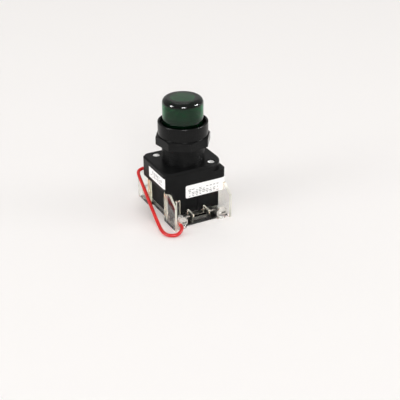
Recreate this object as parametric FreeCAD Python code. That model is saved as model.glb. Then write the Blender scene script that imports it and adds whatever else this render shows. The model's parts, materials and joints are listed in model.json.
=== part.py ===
import FreeCAD, Part
import math
import os

# A push-to-test panel pilot light for a 30.5 mm panel hole, standing on the back of its contact block.
# Origin: centre of the foot print on the table. +Z runs up the lens axis, +X to the right along the
# front face, and the front face looks along -Y. All sizes are in millimetres.

Vector = FreeCAD.Vector
AXIS = Vector(0, 0, 1)

# Clearances and travel
SEAT_GAP = 0.1          # between moulded pieces that only locate each other
SLIDE_GAP = 0.08        # radial running fit of the lens carrier in the barrel
FREE_GAP = 0.4          # round a moving leg or a screw in its hole
SPRING_GAP = 0.05       # between the end of a spring and its seat
CONTACT_GAP = 0.1       # between the closed contacts at rest
TRAVEL = 4.5            # push of the lens
TRAVEL_GAP = 0.3        # left under whatever comes down with the lens at full push
CUT = 1.0               # how far a cutting shape runs past the face that it opens

# Clear terminal base
FLOOR_T = 1.6
RIM_HEIGHT = 3.0
RIM_T = 1.5
WING_PAST_BLOCK = 3.2
WING_PAST_TAB = 1.8
WING_BEHIND_PILLAR = 7.0
WING_SLOPE_PAST_PILLAR = 1.8
WING_T = 1.5
WING_FRONT_Z = 17.6
WING_RIB_T = 1.4
TONGUE_INSET = 6.4
TONGUE_PAST_TAB = 4.8
LOBE_PAST_TAB = 5.0
BOSS_R = 4.3
BOSS_HEIGHT = 2.2
DIVIDER_GAP = 0.5       # between a divider and the terminal strip beside it
DIVIDER_T = 1.2
DIVIDER_Z = 7.9
LEDGE_D = 3.5
LEDGE_Z = 5.0
LATCH_GAP = 1.9         # between a latch and the terminal strip beside it
LATCH_W = 2.7
LATCH_T = 1.4
LATCH_Z = 18.0
HOOK_DEPTH = 0.8
HOOK_HEIGHT = 2.0

# Contact block
BLOCK_SIDE_STEP = 4.7   # from the light unit's side in to the block's
BLOCK_FRONT_STEP = 2.0
BLOCK_H = 19.2
BLOCK_ROOF = 2.0
BLOCK_R = 1.2
CAVITY_PAST_CONTACT = 3.8
CAVITY_PAST_LEG = 1.08
PILLAR_W = 9.6
RIB_X = 2.9
RIB_W = 2.4
RIB_PROUD = 0.6

# Terminals
STRIP_T = 1.0
CONTACT_PAST_STEM = 5.6
STRIP_W = 4.4
TAB_W = 6.0
TAB_PAST_PILLAR = 2.0
TAB_LENGTH = 6.2
CROSS_W = 1.6
LIP_TOP_W = 3.6
LIP_HEIGHT = 3.0
SCREW_INSET = 3.3
SCREW_PAST_TAB = 3.0
TERMINAL_SCREW_R = 1.6
TERMINAL_HEAD_R = 2.9
TERMINAL_HEAD_H = 2.0
SCREW_TIP = 2.6
DRIVER_HOLE_GAP = 0.4
SLOT_W = 0.9
SLOT_DEPTH = 0.8
CLAMP_T = 1.1
CLAMP_EAR_T = 0.8
CLAMP_EAR_H = 4.0
CONDUCTOR_D = 1.2
CONDUCTOR_GAP = 0.05
CONDUCTOR_PAST = 2.5    # how far the bare wire reaches past the screw
PAD_R = 1.6
PAD_H = 0.6
PAD_INSET = 1.8         # from the end of a bridge to the pad's centre
STRIP_PAST_PAD = 2.0
RISER_INSET = 1.2

# Contact carriage
BRIDGE_W = 3.8
BRIDGE_T = 0.8
BRIDGE_INSET = 2.2      # from the cavity's wall to the end of a bridge
BRIDGE_CORNER_R = 1.2
BRIDGE_SPRING_H = 2.7
BRIDGE_SPRING_R = 1.5
BRIDGE_WIRE = 0.5
BRIDGE_TURNS = 2
STEM_HALF = 4.0
STEM_FOOT = 3.5         # stem below the bridges
ARM_HALF_Y = 3.0
ARM_ROOF = 1.2
WINDOW_GAP = 0.3
CROSSBAR_HALF_X = 3.2
CROSSBAR_H = 2.2
CARRIAGE_SPRING_R = 2.5
CARRIAGE_WIRE = 0.6
CARRIAGE_TURNS = 6
CARRIAGE_SPRING_POCKET = 6.6

# Light unit
LIGHT_W = 47.0
LIGHT_D = 40.0
LIGHT_H = 12.0
LIGHT_R = 4.0
LIGHT_WALL = 1.8
LIGHT_ROOF = 2.0
CORNER_STEP = 2.4
APRON_WRAP = 6.0        # how far the apron runs back round the right corner
APRON_DROP = 6.4
COVER_T = 1.4
TOWER_LEG_GAP = 0.87
TOWER_WALL = 2.2
TOWER_H = 14.2
LEAD_HOLE_R = 1.2

# Lamp
SOCKET_WALL = 0.5
SOCKET_PROUD = 1.0
INSULATOR_T = 1.0
CENTRE_SPRING_H = 4.0
CENTRE_CONTACT_R = 2.2
CENTRE_CONTACT_H = 1.8
CENTRE_CONTACT_BEVEL = 0.6
CENTRE_WIRE = 0.4
CENTRE_TURNS = 3
LAMP_BASE_H = 12.0
LAMP_BASE_BEVEL = 0.35
LAMP_FOOT_R = 2.2
LAMP_FOOT_H = 0.7
BULB_PAST_BASE = 0.35
BULB_H = 18.9
BULB_NECK = 0.8
BAYONET_PIN_R = 0.9
BAYONET_RISE = 4.9
PIN_SLOT_GAP = 0.2
PIN_ENTRY_X = 3.4
RESISTOR_R = 3.4
RESISTOR_SIDE_GAP = 2.9
RESISTOR_BACK_GAP = 6.0
RESISTOR_SCREW_GAP = 7.7
LEAD_R = 0.4
LEAD_END = 1.5

# Operator
PANEL_HOLE_D = 30.5
PANEL_HOLE_GAP = 0.4
FLANGE_T = 2.6
FLANGE_BEVEL = 1.1
FLANGE_R = 5.0
FLANGE_CUT_R = 14.0
BARREL_WALL = 2.25
COLLAR_H = 0.8
COLLAR_PROUD = 0.3
SEAT_T = 1.4
SEAT_LAND = 3.2
NECK_LENGTH = 12.8
THREAD_LENGTH = 5.8
KEYWAY_W = 3.2
KEYWAY_DEPTH = 1.0
FLANGE_SCREW_INSET_X = 9.1
FLANGE_SCREW_INSET_Y = 6.3
FLANGE_SCREW_R = 1.6
FLANGE_HEAD_R = 2.6
FLANGE_HEAD_H = 1.5
FLANGE_HEAD_ROUND = 0.5
FLANGE_HEAD_SUNK = 0.3
FLANGE_SCREW_GRIP = 10.8
SCREW_HOLE_PAST = 1.0   # depth of the block's screw hole below the screw's end

# Bezel ring
NUT_SIDES = 8
NUT_WALL = 3.25
NUT_HEIGHT = 6.2
NUT_TURN = 9.9
NUT_CHAMFER = 1.2
NUT_CHAMFER_RUN = 1.5
RING_PAST_BARREL = 2.6
RING_H = 9.7
RING_WALL = 1.45
RIM_ROUND = 0.6
SEAL_T = 1.2
SEAL_INSET = 0.25
LIP_T = 1.2

# Lens and carrier
LENS_INSET = 0.7        # from the barrel's outside in to the lens
LENS_WALL = 1.7
LENS_ROOF = 2.2
LENS_STAND = 16.8
LENS_ROUND = 3.7
COLLAR_T = 1.2
COLLAR_PAST_CARRIER = 0.9
NECK_IN_LENS = 6.0
CARRIER_WALL = 1.9
LEG_T = 1.9
LEG_HALF_X = 1.6
LEG_PAD_H = 2.5
RETURN_SPRING_H = 8.3
RETURN_WIRE = 0.9
RETURN_TURNS = 3

# Labels
LABEL_T = 0.15
LABEL_R = 1.2
LEFT_LABEL_INSET = 2.7
LEFT_LABEL_LENGTH = 23.9
LEFT_LABEL_RISE = (3.0, 10.9)
FRONT_LABEL_INSET = 0.4
FRONT_LABEL_RISE = (-6.2, 3.4)

# Jumper wire, from the back wall of the light unit to the front-left terminal
WIRE_D = 2.4
ARC_SHARE = 0.45        # share of the shorter run that each arc takes at a point
WIRE_ROUTE = [
    (-17.4, 18.4, 24.9),
    (-17.4, 21.6, 24.9),
    (-19.8, 24.0, 24.8),
    (-23.2, 24.0, 24.2),
    (-25.7, 21.5, 23.4),
    (-26.4, 15.5, 20.6),
    (-27.6, 4.4, 15.4),
    (-29.2, -9.3, 9.0),
    (-30.4, -20.5, 3.9),
    (-31.0, -28.0, 1.5),
    (-29.4, -34.4, 1.3),
    (-23.2, -37.2, 1.6),
    (-17.8, -33.3, 4.0),
    (-17.8, -29.4, 4.0),
]

# Levels, from the table up
BLOCK_Z = FLOOR_T + RIM_HEIGHT
BLOCK_TOP = BLOCK_Z + BLOCK_H
WING_TOP = BLOCK_TOP - 2 * SEAT_GAP
LIGHT_TOP = BLOCK_TOP + LIGHT_H
FLANGE_TOP = LIGHT_TOP + FLANGE_T
NUT_Z = FLANGE_TOP + NECK_LENGTH
NUT_TOP = NUT_Z + NUT_HEIGHT
RIM_Z = NUT_TOP + RING_H
LENS_TOP = RIM_Z + LENS_STAND
SPRING_SEAT_Z = LIGHT_TOP + SEAT_T
CARRIER_Z = SPRING_SEAT_Z + RETURN_SPRING_H
BARREL_TOP = NUT_Z + THREAD_LENGTH
LIP_Z = BARREL_TOP + SEAL_T
LIP_TOP = LIP_Z + LIP_T
LENS_Z = LIP_TOP + TRAVEL + TRAVEL_GAP
COLLAR_Z = LENS_Z - COLLAR_T
TOWER_TOP = LIGHT_TOP + TOWER_H
CENTRE_SPRING_Z = LIGHT_TOP + INSULATOR_T
CENTRE_CONTACT_Z = CENTRE_SPRING_Z + CENTRE_SPRING_H
LAMP_Z = CENTRE_CONTACT_Z + CENTRE_CONTACT_H
BULB_Z = LAMP_Z + LAMP_BASE_H
BAYONET_Z = LAMP_Z + BAYONET_RISE
SCREW_HEAD_Z = FLANGE_TOP - FLANGE_HEAD_SUNK - FLANGE_HEAD_H
SCREW_END_Z = BLOCK_TOP - FLANGE_SCREW_GRIP
ROOF_Z = BLOCK_TOP - BLOCK_ROOF
CARRIAGE_TOP = ROOF_Z - 2 * SEAT_GAP
STRIP_TOP = BLOCK_Z + STRIP_T
BRIDGE_Z = STRIP_TOP + PAD_H + TRAVEL + 2 * SEAT_GAP
BRIDGE_TOP = BRIDGE_Z + BRIDGE_T
CLOSED_STRIP_Z = BRIDGE_TOP + CONTACT_GAP + PAD_H
STEM_Z = BRIDGE_Z - STEM_FOOT
ARM_TOP = BRIDGE_TOP + BRIDGE_SPRING_H + ARM_ROOF
TAB_LIP_Z = STRIP_TOP + LIP_HEIGHT
CLAMP_Z = BLOCK_Z - CONDUCTOR_D - CLAMP_T
TERMINAL_HEAD_Z = CLAMP_Z - TERMINAL_HEAD_H

# Radii and places that follow from the sizes above
BARREL_R = PANEL_HOLE_D / 2 - PANEL_HOLE_GAP
BARREL_BORE = BARREL_R - BARREL_WALL
SEAT_BORE = BARREL_BORE - SEAT_LAND
CARRIER_R = BARREL_BORE - SLIDE_GAP
CARRIER_BORE = CARRIER_R - CARRIER_WALL
COLLAR_R = CARRIER_R + COLLAR_PAST_CARRIER
LIP_BORE = COLLAR_R + TRAVEL_GAP
LEG_OUTER_Y = CARRIER_BORE - SEAT_GAP
LEG_INNER_Y = LEG_OUTER_Y - LEG_T
LEG_PAD_Y = CARRIER_R - CARRIER_WALL / 2
RETURN_SPRING_R = LEG_PAD_Y - SEAT_GAP
LENS_R = BARREL_R - LENS_INSET
RING_R = BARREL_R + RING_PAST_BARREL
NUT_R = BARREL_R + NUT_WALL
TOWER_R = LEG_INNER_Y - TOWER_LEG_GAP
TOWER_BORE = TOWER_R - TOWER_WALL
SOCKET_R = TOWER_BORE - SEAT_GAP / 2
LAMP_BASE_R = TOWER_BORE - SOCKET_WALL - PIN_SLOT_GAP - 2 * SEAT_GAP
BULB_R = LAMP_BASE_R + BULB_PAST_BASE
PILLAR_Y = LIGHT_D / 2
BLOCK_W = LIGHT_W - 2 * BLOCK_SIDE_STEP
BLOCK_D = LIGHT_D - 2 * BLOCK_FRONT_STEP
PILLAR_INNER_X = BLOCK_W / 2 - PILLAR_W
CONTACT_X = STEM_HALF + CONTACT_PAST_STEM
CAVITY_X = CONTACT_X + CAVITY_PAST_CONTACT
CAVITY_Y = LEG_OUTER_Y + CAVITY_PAST_LEG
RISER_Y = CAVITY_Y - RISER_INSET
BRIDGE_HALF_Y = CAVITY_Y - BRIDGE_INSET
PAD_Y = BRIDGE_HALF_Y - PAD_INSET
STRIP_END_Y = PAD_Y - STRIP_PAST_PAD
TAB_INNER_Y = PILLAR_Y + TAB_PAST_PILLAR
TAB_OUTER_Y = TAB_INNER_Y + TAB_LENGTH
CROSS_Y = TAB_INNER_Y + CROSS_W
SCREW_X = BLOCK_W / 2 - SCREW_INSET
SCREW_Y = TAB_INNER_Y + SCREW_PAST_TAB
WING_OUTER_X = BLOCK_W / 2 + WING_PAST_BLOCK
WING_INNER_Y = PILLAR_Y - WING_BEHIND_PILLAR
WING_SLOPE_Y = PILLAR_Y + WING_SLOPE_PAST_PILLAR
WING_OUTER_Y = TAB_OUTER_Y + WING_PAST_TAB
TONGUE_HALF_X = BLOCK_W / 2 - TONGUE_INSET
TONGUE_Y = TAB_INNER_Y + TONGUE_PAST_TAB
LOBE_Y = TAB_INNER_Y + LOBE_PAST_TAB
DIVIDER_X = CONTACT_X - STRIP_W / 2 - DIVIDER_GAP
LATCH_X = CONTACT_X + STRIP_W / 2 + LATCH_GAP + LATCH_W / 2
WINDOW_HALF_X = BRIDGE_W / 2 + WINDOW_GAP
ARM_OUTER_X = CAVITY_X - WINDOW_GAP
DRIVER_HOLE_R = TERMINAL_HEAD_R + DRIVER_HOLE_GAP
APRON_LEFT_X = -PILLAR_INNER_X + SEAT_GAP
APRON_END_Y = APRON_WRAP - PILLAR_Y
FLANGE_SCREW_X = LIGHT_W / 2 - FLANGE_SCREW_INSET_X
FLANGE_SCREW_Y = LIGHT_D / 2 - FLANGE_SCREW_INSET_Y
RESISTOR_X = LIGHT_W / 2 - LIGHT_WALL - RESISTOR_SIDE_GAP - RESISTOR_R
RESISTOR_BACK_Y = LIGHT_D / 2 - RESISTOR_BACK_GAP
RESISTOR_FRONT_Y = RESISTOR_SCREW_GAP - FLANGE_SCREW_Y
FLANGE_RADII = [FLANGE_R, FLANGE_CUT_R, FLANGE_R, FLANGE_R]
LIGHT_RADII = [FLANGE_R, LIGHT_R, FLANGE_R, FLANGE_R]
CORNERS = {"fl": (-1, -1), "fr": (1, -1), "bl": (-1, 1), "br": (1, 1)}
FLANGE_SCREWS = [(-FLANGE_SCREW_X, FLANGE_SCREW_Y), (FLANGE_SCREW_X, -FLANGE_SCREW_Y)]


def box(x0, x1, y0, y1, z0, z1):
    """Box between two corners, in any order."""
    low = Vector(min(x0, x1), min(y0, y1), min(z0, z1))
    return Part.makeBox(abs(x1 - x0), abs(y1 - y0), abs(z1 - z0), low)


def rod(radius, z0, z1, x=0, y=0):
    """Upright cylinder."""
    return Part.makeCylinder(radius, z1 - z0, Vector(x, y, z0), AXIS)


def tube(outer, inner, z0, z1, x=0, y=0):
    """Upright tube."""
    return rod(outer, z0, z1, x, y).cut(rod(inner, z0, z1, x, y))


def face_from(points):
    """Flat face from corner points."""
    return Part.Face(Part.makePolygon([Vector(*p) for p in points] + [Vector(*points[0])]))


def turned(points):
    """Solid of revolution about the lens axis from (radius, height) corners."""
    return face_from([(r, 0, z) for r, z in points]).revolve(Vector(0, 0, 0), AXIS, 360)


def plate(width, depth, radii, z0, z1):
    """Upright rounded plate; radii run front left, front right, back right, back left."""
    sides = [Vector(-1, 0, 0), Vector(0, -1, 0), Vector(1, 0, 0), Vector(0, 1, 0)]
    edges, ends = [], []
    for before, after, radius in zip(sides, sides[1:] + sides[:1], radii):
        corner = before + after
        centre = Vector(corner.x * (width / 2 - radius), corner.y * (depth / 2 - radius), z0)
        on = [centre + way * radius for way in (before, corner / corner.Length, after)]
        edges.append(Part.Arc(*on).toShape())
        ends.append((on[0], on[2]))
    for this, after in zip(ends, ends[1:] + ends[:1]):
        edges.append(Part.LineSegment(this[1], after[0]).toShape())
    outline = Part.Wire(Part.__sortEdges__(edges))
    return Part.Face(outline).extrude(Vector(0, 0, z1 - z0))


def bevelled(solid, z, size):
    """Bevels the long outer edges of a solid that lie at one height."""
    edges = [e for e in solid.Edges if all(abs(v.Z - z) < 1e-6 for v in e.Vertexes)]
    return solid.makeChamfer(size, edges)


def edges_at(solid, z):
    """Edges of a solid that lie at one height."""
    return [e for e in solid.Edges if abs(e.BoundBox.ZMin - z) < 1e-4 and abs(e.BoundBox.ZMax - z) < 1e-4]


def coil(radius, wire, z0, z1, turns, x=0):
    """Upright compression spring between two seats, of tilted half turns that meet smoothly."""
    low, high = z0 + wire / 2 + SPRING_GAP, z1 - wire / 2 - SPRING_GAP
    rise = (high - low) / (2 * turns)
    arcs = []
    for k in range(2 * turns):
        side = 1 if k % 2 == 0 else -1
        start = Vector(x + side * radius, 0, low + k * rise)
        end = Vector(x - side * radius, 0, low + (k + 1) * rise)
        middle = (start + end) / 2 + Vector(0, side * (end - start).Length / 2, 0)
        arcs.append(Part.Arc(start, middle, end).toShape())
    section = Part.Wire(Part.makeCircle(wire / 2, Vector(x + radius, 0, low), Vector(0, 1, 0)))
    return Part.Wire(arcs).makePipe(Part.Face(section))


def mirrored_to(shape, sx, sy):
    """Copy of a front-right shape at another corner, by turning or mirroring it."""
    if sx < 0:
        shape = shape.mirror(Vector(0, 0, 0), Vector(1, 0, 0))
    if sy > 0:
        shape = shape.mirror(Vector(0, 0, 0), Vector(0, 1, 0))
    return shape


def at_corners(make):
    """The same shape, given for the front-right corner, at all four corners."""
    return [mirrored_to(make(), sx, sy) for sx, sy in CORNERS.values()]


def base_floor():
    """Floor of the clear base: narrow under the block's sides, lobed under the four terminals."""
    floor = box(-BLOCK_W / 2, BLOCK_W / 2, -BLOCK_D / 2, BLOCK_D / 2, 0, FLOOR_T)
    floor = floor.fuse(box(-TONGUE_HALF_X, TONGUE_HALF_X, -TONGUE_Y, TONGUE_Y, 0, FLOOR_T))
    sides = at_corners(lambda: box(TONGUE_HALF_X, WING_OUTER_X, -LOBE_Y, -WING_INNER_Y, 0, FLOOR_T))
    bosses = at_corners(lambda: rod(BOSS_R, 0, BOSS_HEIGHT, SCREW_X, -SCREW_Y))
    floor = floor.multiFuse(sides + bosses)
    holes = at_corners(lambda: rod(DRIVER_HOLE_R, -CUT, BOSS_HEIGHT + CUT, SCREW_X, -SCREW_Y))
    return floor.cut(Part.makeCompound(holes))


def wing():
    """Guard beside the front-right terminal, with the rib that stands at its inner end."""
    corners = [(-WING_INNER_Y, 0), (-WING_OUTER_Y, 0), (-WING_OUTER_Y, WING_FRONT_Z),
               (-WING_SLOPE_Y, WING_TOP), (-WING_INNER_Y, WING_TOP)]
    inner_x = WING_OUTER_X - WING_T
    wall = face_from([(inner_x, y, z) for y, z in corners]).extrude(Vector(WING_T, 0, 0))
    rib = box(BLOCK_W / 2 + 2 * SEAT_GAP, inner_x, -WING_INNER_Y, -WING_INNER_Y - WING_RIB_T, 0, WING_TOP)
    return wall.fuse(rib)


def latch():
    """Springy clear leg with a hook, in front of the front-left pillar of the block."""
    face_y = -PILLAR_Y - SEAT_GAP
    x0, x1 = -LATCH_X - LATCH_W / 2, -LATCH_X + LATCH_W / 2
    leg = box(x0, x1, face_y, face_y - LATCH_T, 0, LATCH_Z)
    hook = face_from([(x0, face_y, LATCH_Z), (x0, face_y + HOOK_DEPTH, LATCH_Z - HOOK_HEIGHT),
                      (x0, face_y, LATCH_Z - HOOK_HEIGHT)]).extrude(Vector(LATCH_W, 0, 0))
    return leg.fuse(hook)


def divider():
    """Low wall between the two front terminals, at the front-right one."""
    return box(DIVIDER_X - DIVIDER_T, DIVIDER_X, -BLOCK_D / 2 - FREE_GAP, -TONGUE_Y, 0, DIVIDER_Z)


def turned_half(shape):
    """Copy of a shape turned half a turn about the lens axis."""
    return shape.rotated(Vector(0, 0, 0), AXIS, 180)


def clear_base():
    """Clear moulded base: floor, rim, four terminal guards, dividers, ledges and two latches."""
    rim = box(-BLOCK_W / 2, BLOCK_W / 2, -BLOCK_D / 2, BLOCK_D / 2, 0, BLOCK_Z)
    inner_x, inner_y = BLOCK_W / 2 - RIM_T, BLOCK_D / 2 - RIM_T
    rim = rim.cut(box(-inner_x, inner_x, -inner_y, inner_y, -CUT, BLOCK_Z + CUT))
    shapes = [rim] + at_corners(wing) + at_corners(divider) + [latch(), turned_half(latch())]
    ledge = box(-DIVIDER_X, DIVIDER_X, -TONGUE_Y, -TONGUE_Y + LEDGE_D, 0, LEDGE_Z)
    shapes += [ledge, turned_half(ledge)]
    return base_floor().multiFuse(shapes).cut(apron_space()).removeSplitter()


def apron_space():
    """Space that the front-right guard leaves to the apron of the light unit."""
    y0, y1 = -PILLAR_Y - 2 * SEAT_GAP, -WING_INNER_Y + CUT
    z0, z1 = BLOCK_TOP - APRON_DROP - 2 * SEAT_GAP, WING_TOP + CUT
    return box(BLOCK_W / 2, WING_OUTER_X + CUT, y0, y1, z0, z1)


def strip_groove():
    """Space for the front-right terminal strip in the underside of the block."""
    half = STRIP_W / 2 + SEAT_GAP
    y0, y1 = -PILLAR_Y - CUT, -CAVITY_Y + CUT
    return box(CONTACT_X - half, CONTACT_X + half, y0, y1, BLOCK_Z - CUT, STRIP_TOP)


def latch_pocket():
    """Pocket in the front-left pillar that takes the latch hook."""
    half = LATCH_W / 2 + 2 * SEAT_GAP
    y0, y1 = -PILLAR_Y - CUT, -PILLAR_Y + HOOK_DEPTH + SEAT_GAP
    z0, z1 = LATCH_Z - HOOK_HEIGHT - SEAT_GAP, LATCH_Z + SEAT_GAP
    return box(-LATCH_X - half, -LATCH_X + half, y0, y1, z0, z1)


def leg_slots(z0, z1):
    """Spaces for both legs of the lens carrier."""
    x = LEG_HALF_X + FREE_GAP
    slot = box(-x, x, -LEG_INNER_Y + FREE_GAP, -LEG_OUTER_Y - FREE_GAP, z0, z1)
    return [slot, turned_half(slot)]


def contact_block_body():
    """Black moulded contact block, open below, with a flush pillar at two opposite corners."""
    body = plate(BLOCK_W, BLOCK_D, [BLOCK_R] * 4, BLOCK_Z, BLOCK_TOP)
    pillar = box(-BLOCK_W / 2, -PILLAR_INNER_X, -PILLAR_Y, 0, BLOCK_Z, BLOCK_TOP)
    rib = box(RIB_X - RIB_W / 2, RIB_X + RIB_W / 2, -BLOCK_D / 2 - RIB_PROUD, 0,
              BLOCK_Z, BLOCK_TOP - APRON_DROP - FREE_GAP)
    body = body.multiFuse([pillar, turned_half(pillar), rib, turned_half(rib)])
    cuts = [box(-CAVITY_X, CAVITY_X, -CAVITY_Y, CAVITY_Y, BLOCK_Z - CUT, ROOF_Z)]
    cuts += at_corners(strip_groove) + [latch_pocket(), turned_half(latch_pocket())]
    cuts += leg_slots(ROOF_Z - CUT, BLOCK_TOP + CUT)
    for x, y in FLANGE_SCREWS:
        cuts.append(rod(FLANGE_SCREW_R + SEAT_GAP / 2, SCREW_END_Z - SCREW_HOLE_PAST, BLOCK_TOP + CUT, x, y))
    return body.cut(Part.makeCompound(cuts)).removeSplitter()


def tab_and_tongue():
    """Flat part of the front-right terminal strip: tongue, crosspiece, tab and its upturned lip."""
    half, tab_half = STRIP_W / 2, TAB_W / 2
    x0, x1 = SCREW_X - tab_half, SCREW_X + tab_half
    tongue = box(CONTACT_X - half, CONTACT_X + half, -TAB_INNER_Y, -CAVITY_Y, BLOCK_Z, STRIP_TOP)
    cross = box(CONTACT_X - half, x1, -CROSS_Y, -TAB_INNER_Y, BLOCK_Z, STRIP_TOP)
    tab = box(x0, x1, -TAB_OUTER_Y, -CROSS_Y, BLOCK_Z, STRIP_TOP)
    lip = face_from([(x0, -TAB_OUTER_Y, STRIP_TOP), (x1, -TAB_OUTER_Y, STRIP_TOP),
                     (SCREW_X + LIP_TOP_W / 2, -TAB_OUTER_Y, TAB_LIP_Z),
                     (SCREW_X - LIP_TOP_W / 2, -TAB_OUTER_Y, TAB_LIP_Z)]).extrude(Vector(0, STRIP_T, 0))
    hole = rod(TERMINAL_SCREW_R + SEAT_GAP / 2, BLOCK_Z - CUT, STRIP_TOP + CUT, SCREW_X, -SCREW_Y)
    return tongue.multiFuse([cross, tab, lip]).cut(hole)


def open_strip():
    """Strip of the normally open circuit: its contact pad lies below the bridge."""
    half = STRIP_W / 2
    end = box(CONTACT_X - half, CONTACT_X + half, -CAVITY_Y, -STRIP_END_Y, BLOCK_Z, STRIP_TOP)
    pad = rod(PAD_R, STRIP_TOP, STRIP_TOP + PAD_H, CONTACT_X, -PAD_Y)
    return tab_and_tongue().multiFuse([end, pad]).removeSplitter()


def closed_strip():
    """Strip of the normally closed circuit: it steps up so that its pad lies above the bridge."""
    half = STRIP_W / 2
    x0, x1 = CONTACT_X - half, CONTACT_X + half
    low = box(x0, x1, -CAVITY_Y, -RISER_Y, BLOCK_Z, STRIP_TOP)
    riser = box(x0, x1, -RISER_Y - STRIP_T, -RISER_Y, BLOCK_Z, CLOSED_STRIP_Z + STRIP_T)
    high = box(x0, x1, -RISER_Y, -STRIP_END_Y, CLOSED_STRIP_Z, CLOSED_STRIP_Z + STRIP_T)
    pad = rod(PAD_R, CLOSED_STRIP_Z - PAD_H, CLOSED_STRIP_Z, CONTACT_X, -PAD_Y)
    return tab_and_tongue().multiFuse([low, riser, high, pad]).removeSplitter()


def terminal_strip(corner):
    """Terminal strip of one corner: the left pair is normally closed, the right pair open."""
    sx, sy = CORNERS[corner]
    return mirrored_to(closed_strip() if sx < 0 else open_strip(), sx, sy)


def clamp_plate(corner):
    """Pressure clamp under a terminal tab, with an ear that rises on each side of it."""
    sx, sy = CORNERS[corner]
    inner = TAB_W / 2 + SEAT_GAP
    outer = inner + CLAMP_EAR_T
    top = CLAMP_Z + CLAMP_T
    body = box(SCREW_X - outer, SCREW_X + outer, -TAB_OUTER_Y, -TAB_INNER_Y, CLAMP_Z, top)
    ears = [box(SCREW_X + side * inner, SCREW_X + side * outer, -TAB_OUTER_Y, -CROSS_Y - CLAMP_EAR_T,
                CLAMP_Z, CLAMP_Z + CLAMP_EAR_H) for side in (-1, 1)]
    hole = rod(TERMINAL_SCREW_R + SEAT_GAP / 2, CLAMP_Z - CUT, top + CUT, SCREW_X, -SCREW_Y)
    return mirrored_to(body.multiFuse(ears).cut(hole).removeSplitter(), sx, sy)


def terminal_screw():
    """Slotted terminal screw at the front-right corner, head down."""
    head = rod(TERMINAL_HEAD_R, TERMINAL_HEAD_Z, CLAMP_Z, SCREW_X, -SCREW_Y)
    half = SLOT_W / 2
    slot = box(SCREW_X - half, SCREW_X + half, -SCREW_Y - TERMINAL_HEAD_R, -SCREW_Y + TERMINAL_HEAD_R,
               TERMINAL_HEAD_Z - CUT, TERMINAL_HEAD_Z + SLOT_DEPTH)
    shank = rod(TERMINAL_SCREW_R, CLAMP_Z, STRIP_TOP + SCREW_TIP, SCREW_X, -SCREW_Y)
    return head.cut(slot).fuse(shank)


def terminal_screws():
    """The four terminal screws."""
    return Part.makeCompound(at_corners(terminal_screw))


def carriage_arm(side):
    """Arm of the carriage that carries one bridge: side -1 is normally closed, 1 normally open."""
    low, high = bridge_window(side)
    arm = box(0, side * ARM_OUTER_X, -ARM_HALF_Y, ARM_HALF_Y, STEM_Z, ARM_TOP)
    window = box(side * (CONTACT_X - WINDOW_HALF_X), side * (CONTACT_X + WINDOW_HALF_X),
                 -ARM_HALF_Y - CUT, ARM_HALF_Y + CUT, low, high)
    return arm.cut(window)


def bridge_window(side):
    """Lowest and highest level of the window that holds a bridge and its spring."""
    if side < 0:
        return BRIDGE_Z - BRIDGE_SPRING_H, BRIDGE_TOP
    return BRIDGE_Z, BRIDGE_TOP + BRIDGE_SPRING_H


def contact_carriage():
    """Moulded carriage: stem with a pocket for its spring, two arms, and a crossbar under the legs."""
    stem = box(-STEM_HALF, STEM_HALF, -STEM_HALF, STEM_HALF, STEM_Z, CARRIAGE_TOP)
    crossbar = box(-CROSSBAR_HALF_X, CROSSBAR_HALF_X, -LEG_OUTER_Y, LEG_OUTER_Y,
                   CARRIAGE_TOP - CROSSBAR_H, CARRIAGE_TOP)
    pocket_r = CARRIAGE_SPRING_R + CARRIAGE_WIRE / 2 + FREE_GAP
    pocket = rod(pocket_r, STEM_Z - CUT, STEM_Z + CARRIAGE_SPRING_POCKET)
    return stem.multiFuse([crossbar, carriage_arm(-1), carriage_arm(1)]).cut(pocket).removeSplitter()


def bridge(side):
    """Moving contact bridge, a flat bar with round corners."""
    x, half = side * CONTACT_X, BRIDGE_W / 2
    bar = box(x - half, x + half, -BRIDGE_HALF_Y, BRIDGE_HALF_Y, BRIDGE_Z, BRIDGE_TOP)
    upright = [e for e in bar.Edges if abs(e.Vertexes[0].Z - e.Vertexes[-1].Z) > BRIDGE_T / 2]
    return bar.makeFillet(BRIDGE_CORNER_R, upright)


def bridge_spring(side):
    """Small spring that loads a bridge inside its window."""
    low, high = bridge_window(side)
    ends = (low, BRIDGE_Z) if side < 0 else (BRIDGE_TOP, high)
    return coil(BRIDGE_SPRING_R, BRIDGE_WIRE, *ends, BRIDGE_TURNS, side * CONTACT_X)


def carriage_spring():
    """Spring that returns the carriage, from the clear floor up into the stem."""
    return coil(CARRIAGE_SPRING_R, CARRIAGE_WIRE, FLOOR_T, STEM_Z + CARRIAGE_SPRING_POCKET, CARRIAGE_TURNS)


def screw_boss(x, y):
    """Pillar inside the light unit round one long screw."""
    return rod(FLANGE_SCREW_R + FREE_GAP + LIGHT_WALL, BLOCK_TOP + COVER_T, LIGHT_TOP - LIGHT_ROOF, x, y)


def light_unit_plan(inset, z0, z1):
    """The light unit's outline at its top, moved inwards by a wall."""
    radii = [r - inset for r in FLANGE_RADII]
    return plate(LIGHT_W - 2 * inset, LIGHT_D - 2 * inset, radii, z0, z1)


def skirt(outer, inner, z0, z1):
    """Ring along the light unit's outline below its stepped corner, between two distances from it."""
    solids = []
    for out in (outer, inner):
        radii = [r + out for r in LIGHT_RADII]
        solids.append(plate(LIGHT_W + 2 * out, LIGHT_D + 2 * out, radii, z0, z1))
    return solids[0].cut(solids[1])


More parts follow.
